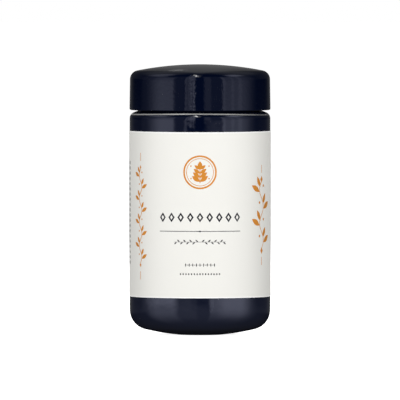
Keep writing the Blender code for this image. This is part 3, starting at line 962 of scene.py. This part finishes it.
# Each soft box: its edges as in BOX_EDGES, and its brightness. Azimuth is 0 towards -Y, 90 towards +X.
SOFT_BOXES = {
    "left key": (-81, -43.6, 20, 2.8, -2, 36, 1.5, 17, 0.80),
    "left key, level": (-84, -42, 18, 5, -2, 4.5, 1.5, 3.0, 0.32),
    "left key, low edge": (-94, -40, 18, 7, -4.8, -2, 2.4, 1.5, 1.15),
    "left key, outer": (-108, -90, 8, 8, -8, 36, 3, 17, 0.09),
    "left key, upper": (-110, -70, 16, 8, 38, 66, 8, 6, 0.72),
    "left fill": (-44, -25, 3, 3, -2, 50, 1.5, 10, 0.14),
    "strip": (-24.4, -7.3, 1.0, 0.8, 1.4, 62, 1.0, 4, 0.50),
    "strip, edge": (-24.2, -21.6, 0.5, 0.8, 1.4, 60, 1.0, 4, 0.26),
    "strip, level": (-26, -21.5, 1.5, 1.5, -2, 1.4, 1.5, 1.0, 0.50),
    "faint strip": (7, 18, 2, 2.5, 1.4, 46, 1.0, 10, 0.37),
    "right fill": (18, 37, 3, 3, -2, 50, 1.5, 10, 0.13),
    "right haze, level": (10, 40, 4, 4, -2, 1.4, 1.5, 1.0, 0.20),
    "right key": (36.8, 86, 1.8, 22, -2, 42, 1.5, 10, 0.59),
    "right key, first line": (37.2, 41.6, 0.8, 2.0, -2, 40, 1.5, 8, 0.28),
    "right key, second line": (52.2, 56.8, 1.6, 1.8, -2, 40, 1.5, 8, 0.24),
    "right key, third line": (65.0, 72.0, 1.8, 1.8, -2, 40, 1.5, 8, 0.21),
    "right key, level": (38, 82, 4, 14, -2, 4.0, 1.5, 2.4, 0.22),
    "right key, low edge": (15.5, 84, 2.2, 20, -6.5, -2, 3.0, 1.5, 0.50),
    "right key, upper": (61, 92, 8, 12, 43, 61, 4, 6, 1.55),
    "far left": (-150, -100, 14, 10, -10, 2, 4, 2, 0.05),
    "far right": (100, 150, 10, 14, -10, 2, 4, 2, 0.05),
    "left, low": (-88, -40, 16, 8, -32, -2, 40, 1.5, 0.86),
    "centre left, low": (-44, -5, 6, 3, -44, -2, 16, 1.5, 0.13),
    "centre left, low edge": (-50, -14, 6, 4, -7, -2, 3, 1.5, 0.12),
    "right, low": (16, 90, 2.5, 22, -32, -2, 40, 1.5, 0.55),
    "far right, low": (33, 80, 13, 14, -23, -2, 29, 1.5, 0.72),
}
# These are sheets of crumpled foil, whose light is uneven.
FOILS = {
    "strip, core": (-18.0, -8.6, 2.0, 1.2, 1.6, 60, 1.0, 4, 0.57),
    "right foil, low": (15, 24, 1.5, 3, -12, -2, 4, 1.5, 0.16),
}
CRUMPLE_ACROSS, CRUMPLE_UP = 0.45, 0.9  # creases a degree
CRUMPLE_RANGE = (0.35, 0.65)    # the noise values of the dark and the bright creases
CRUMPLE_GLOW = (-1.2, 3.2)      # and their brightness
# A narrow lamp over the jar that runs from front to back, and the glow round it. Their first two edges
# are how far they lean to the side, seen from the front.
BAR_LAMPS = ((-6.3, -3.5, 0.9, 0.9, 50, 75, 8, 3, 12), (-9.5, 0.5, 3, 3, 44, 70, 6, 10, 1.0))
BAR_START = (86, 92)            # degrees over the top, from the back horizon
# The ceiling is a strip from behind the jar to a little past its top. Angles are elevations in degrees.
CEILING_SIDES = 0.04            # its brightness
CEILING_LOW = 0.125             # gained straight behind the jar, within CEILING_HALF to either side
CEILING_HALF = (0.02, 0.10)
CEILING_START = (2, 12)
CEILING_GAIN, CEILING_GAIN_FROM = 0.20, (30, 56)  # what it gains higher up
CEILING_LOSS, CEILING_LOSS_FROM = 0.20, (64, 88)  # and loses again overhead
CEILING_END = (104, 88)         # degrees over the top, from the back horizon
TABLE = 0.17                    # brightness straight below
TABLE_START = (-0.5, -8.0)
RIM = 0.10                      # of the backdrop behind the jar's edges
RIM_START = (132, 166)          # degrees of azimuth, to either side
RIM_HALF, RIM_BLUR = 8, 4
# A small lamp low behind the jar: its sides, as the X of a direction, and its ends, in degrees over the
# top from the back horizon, with the blur of each.
WISP_SIDES, WISP_SIDE_BLUR = (-0.050, -0.028), 0.008
WISP_ENDS, WISP_END_BLUR = (22.2, 25.0), 1.0
WISP = 0.22


def reflection_dome():
    """The dome of soft boxes, which no camera sees and which casts no light on paper."""
    material = bpy.data.materials.new("soft boxes")
    material.use_nodes = True
    material.cycles.emission_sampling = "NONE"
    tree = material.node_tree
    tree.nodes.clear()
    box_group = soft_box_group()
    way = axes(result(tree, "ShaderNodeVectorMath", {0: here(tree)}, operation="NORMALIZE"))
    azimuth = maths("DEGREES", maths("ARCTAN2", way["X"], times(way["Y"], -1.0)))
    elevation = maths("DEGREES", maths("ARCSINE", way["Z"]))
    lean = maths("DEGREES", maths("ARCTAN2", way["X"], way["Z"]))
    over = maths("DEGREES", maths("ARCTAN2", way["Z"], way["Y"]))

    def lit_by(boxes, seen_from, total=0.0):
        """The light of some soft boxes, added to a total."""
        for box in boxes:
            edges = dict(zip(BOX_EDGES.split(", "), box))
            places = {"Azimuth": seen_from, "Elevation": elevation, **edges}
            lit = result(tree, "ShaderNodeGroup", places, node_tree=box_group)
            total = maths("MULTIPLY_ADD", lit, box[-1], total)
        return total

    # What the glass tints: the soft boxes, the foil, and a table that darkens from front to back.
    spot = joined(tree, X=times(azimuth, CRUMPLE_ACROSS), Y=times(elevation, CRUMPLE_UP))
    crease = rescaled(noise(spot, 1.0, 1.0), *CRUMPLE_RANGE, *CRUMPLE_GLOW)
    total = lit_by(SOFT_BOXES.values(), azimuth)
    total = maths("MULTIPLY_ADD", lit_by(FOILS.values(), azimuth), crease, total)
    table = maths("MULTIPLY_ADD", way["Y"], -TABLE, TABLE)
    total = maths("MULTIPLY_ADD", table, ramp(elevation, *TABLE_START), total)
    tinted = result(tree, "ShaderNodeVectorMath", {0: total, 1: SHEEN_TINT}, operation="MULTIPLY")

    # And without that tint: the bar lamp, the ceiling with the wisp, and the backdrop's paler edges.
    bar = times(lit_by(BAR_LAMPS, lean), ramp(over, *BAR_START))
    ceiling = ramp(maths("ABSOLUTE", way["X"]), *CEILING_HALF[::-1])
    ceiling = maths("MULTIPLY_ADD", ceiling, CEILING_LOW, CEILING_SIDES)
    ceiling = maths("MULTIPLY_ADD", ramp(elevation, *CEILING_GAIN_FROM), CEILING_GAIN, ceiling)
    ceiling = maths("MULTIPLY_ADD", ramp(elevation, *CEILING_LOSS_FROM), -CEILING_LOSS, ceiling)
    ceiling = times(ceiling, ramp(elevation, *CEILING_START))
    ceiling = times(ceiling, ramp(over, *CEILING_END))
    wisp = times(between(way["X"], *WISP_SIDES, WISP_SIDE_BLUR), WISP)
    ceiling = maths("MULTIPLY_ADD", between(over, *WISP_ENDS, WISP_END_BLUR), wisp, ceiling)
    rim = times(ramp(maths("ABSOLUTE", azimuth), *RIM_START), RIM)
    rim = times(rim, between(elevation, -RIM_HALF, RIM_HALF, RIM_BLUR))
    neutral = maths("ADD", maths("ADD", ceiling, rim), bar)
    colour = result(tree, "ShaderNodeVectorMath", {0: tinted, 1: neutral}, operation="ADD")
    glow = result(tree, "ShaderNodeEmission", {"Color": colour, "Strength": 1.0})
    add(tree, "ShaderNodeOutputMaterial", {"Surface": glow})

    shape = bmesh.new()
    bmesh.ops.create_uvsphere(shape, u_segments=96, v_segments=48, radius=DOME_DISTANCE)
    mesh = bpy.data.meshes.new("reflection dome")
    shape.to_mesh(mesh)
    shape.free()
    dome = stage_object("reflection dome", mesh, material)
    dome.location.z = AIM_HEIGHT
    dome.visible_camera = dome.visible_diffuse = dome.visible_shadow = False
    dome.visible_glossy = True


def backdrop():
    """White to the camera, and an even soft light to everything else."""
    world = bpy.data.worlds.new("studio")
    bpy.context.scene.world = world
    world.use_nodes = True
    tree = world.node_tree
    tree.nodes.clear()
    seen = add(tree, "ShaderNodeLightPath").outputs["Is Camera Ray"]
    strength = maths("MULTIPLY_ADD", seen, 1.0 - AMBIENT, AMBIENT)
    glow = result(tree, "ShaderNodeBackground", {"Color": (1, 1, 1, 1), "Strength": strength})
    add(tree, "ShaderNodeOutputWorld", {"Surface": glow})


# Each lamp: azimuth and elevation in degrees, distance and width in metres, and watts.
LAMPS = {
    "key, left": (-24, 10, 1.3, 0.58, 8.65),
    "key, right": (26, 10, 1.3, 0.58, 8.8),
    "side, left": (-100, 15, 1.3, 0.7, 5.0),
    "side, right": (100, 15, 1.3, 0.7, 4.0),
    "back, left": (-158, 30, 1.4, 0.8, 8.0),
    "back, right": (158, 30, 1.4, 0.8, 8.0),
}


def soft_lamp(name, azimuth, elevation, distance, size, watts):
    """A round diffused lamp aimed at the middle of the jar, which glossy surfaces don't mirror."""
    a, e = math.radians(azimuth), math.radians(elevation)
    back = Vector((math.sin(a) * math.cos(e), -math.cos(a) * math.cos(e), math.sin(e)))
    data = bpy.data.lights.new(name, "AREA")
    data.shape = "DISK"
    data.size = size
    data.energy = watts
    lamp = new_object(name, data)
    lamp.location = Vector((0, 0, AIM_HEIGHT)) + back * distance
    lamp.rotation_euler = (-back).to_track_quat("-Z", "Y").to_euler()
    lamp.visible_camera = lamp.visible_glossy = lamp.visible_transmission = False


CAMERA_DISTANCE = 9.0           # a long lens, from a little above
CAMERA_RISE = math.radians(1.55)
CAMERA_REACH = 40               # metres
FRAME_WIDTH = 199.06 * MM       # what the photograph spans at the jar's axis
SENSOR = 36.0

white_floor()
reflection_dome()
backdrop()
for lamp_name, lamp_values in LAMPS.items():
    soft_lamp(lamp_name, *lamp_values)

camera_data = bpy.data.cameras.new("camera")
camera = new_object("camera", camera_data)
sight = Vector((0, math.cos(CAMERA_RISE), -math.sin(CAMERA_RISE))) * CAMERA_DISTANCE
camera.location = Vector((0, 0, AIM_HEIGHT)) - sight
camera.rotation_euler = sight.to_track_quat("-Z", "Y").to_euler()
camera_data.sensor_width = SENSOR
camera_data.lens = SENSOR * sight.length / FRAME_WIDTH
camera_data.clip_end = CAMERA_REACH
bpy.context.scene.camera = camera
bpy.context.scene.view_settings.view_transform = "Standard"
